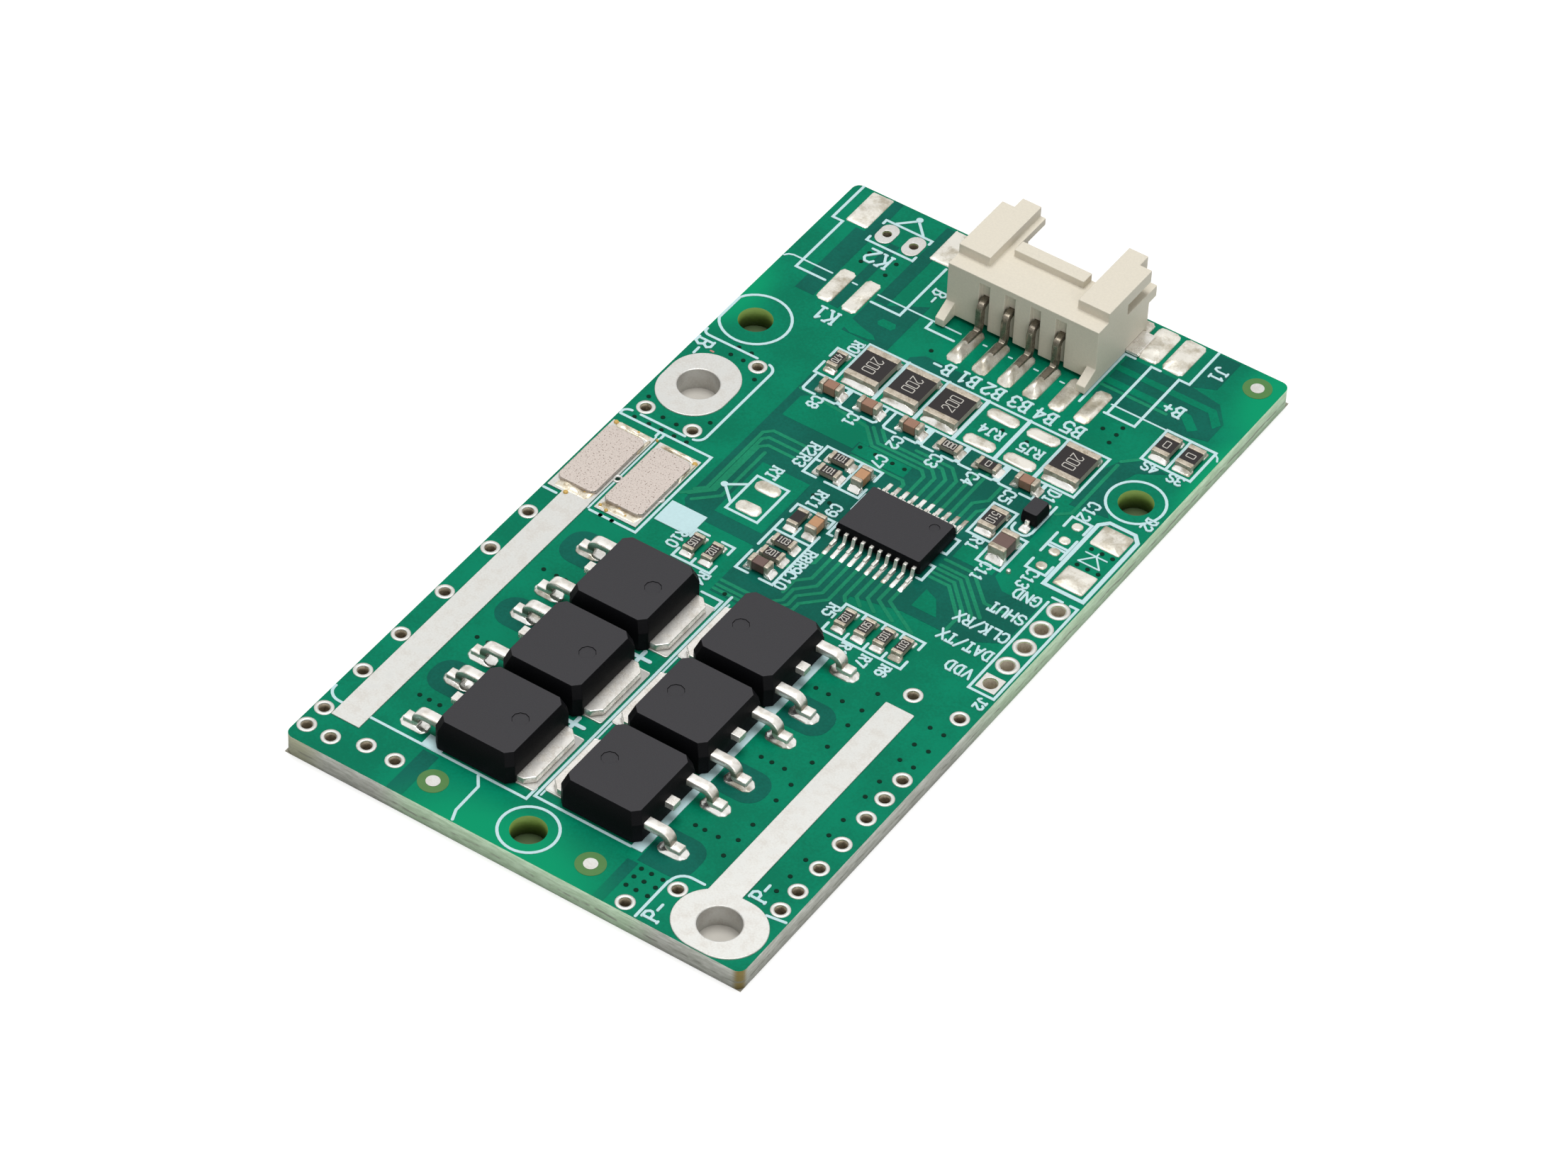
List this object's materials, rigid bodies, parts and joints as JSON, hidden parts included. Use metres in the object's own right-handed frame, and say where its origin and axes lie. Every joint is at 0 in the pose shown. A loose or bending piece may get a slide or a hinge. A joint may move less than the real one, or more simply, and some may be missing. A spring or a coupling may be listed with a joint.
{
  "type": "battery management board",
  "caption": "Flat battery management board for a cell pack, with switching transistors, weld tabs, screw terminals, a controller and a shrouded cell connector.",
  "frame": {"origin": "centre of the board's underside", "axes": "+Y along the board's long side towards the cell connector, +X along its short side, +Z out of the face that carries the parts"},
  "size_m": [0.0344, 0.0644, 0.007],
  "materials": {
    "board": "satin",
    "tinned_copper": "satin",
    "nickel": "matte",
    "lead_metal": "satin",
    "end_metal": "satin",
    "package": "matte",
    "resistor": "satin",
    "capacitor": "satin",
    "housing": "satin"
  },
  "bodies": {
    "root": {"balance_resistor_1": "resistor", "balance_resistor_2": "resistor", "balance_resistor_3": "resistor", "balance_resistor_4": "resistor", "balance_resistor_ends": "end_metal", "bare_board": "board", "cell_terminal": "tinned_copper", "chip_capacitor_ends": "end_metal", "chip_capacitors": "capacitor", "chip_lands": "tinned_copper", "chip_resistor_ends": "end_metal", "chip_resistors": "resistor", "connector_housing": "housing", "connector_lands": "tinned_copper", "contact_1": "lead_metal", "contact_2": "lead_metal", "contact_3": "lead_metal", "contact_4": "lead_metal", "controller_body": "package", "controller_leads": "lead_metal", "diode_body": "package", "diode_leads": "lead_metal", "header_hole_sleeves": "tinned_copper", "inner_weld_land": "tinned_copper", "inner_weld_tab": "nickel", "left_anchor": "lead_metal", "left_bus_strip": "tinned_copper", "outer_weld_tab": "nickel", "pack_terminal": "tinned_copper", "probe_hole_sleeves": "tinned_copper", "right_anchor": "lead_metal", "small_hole_rings": "tinned_copper", "spare_lands": "tinned_copper", "transistor_bodies": "package", "transistor_drain_tabs": "lead_metal", "transistor_gate_leads": "lead_metal", "transistor_lands": "tinned_copper", "transistor_source_leads": "lead_metal"}
  },
  "joints": []
}
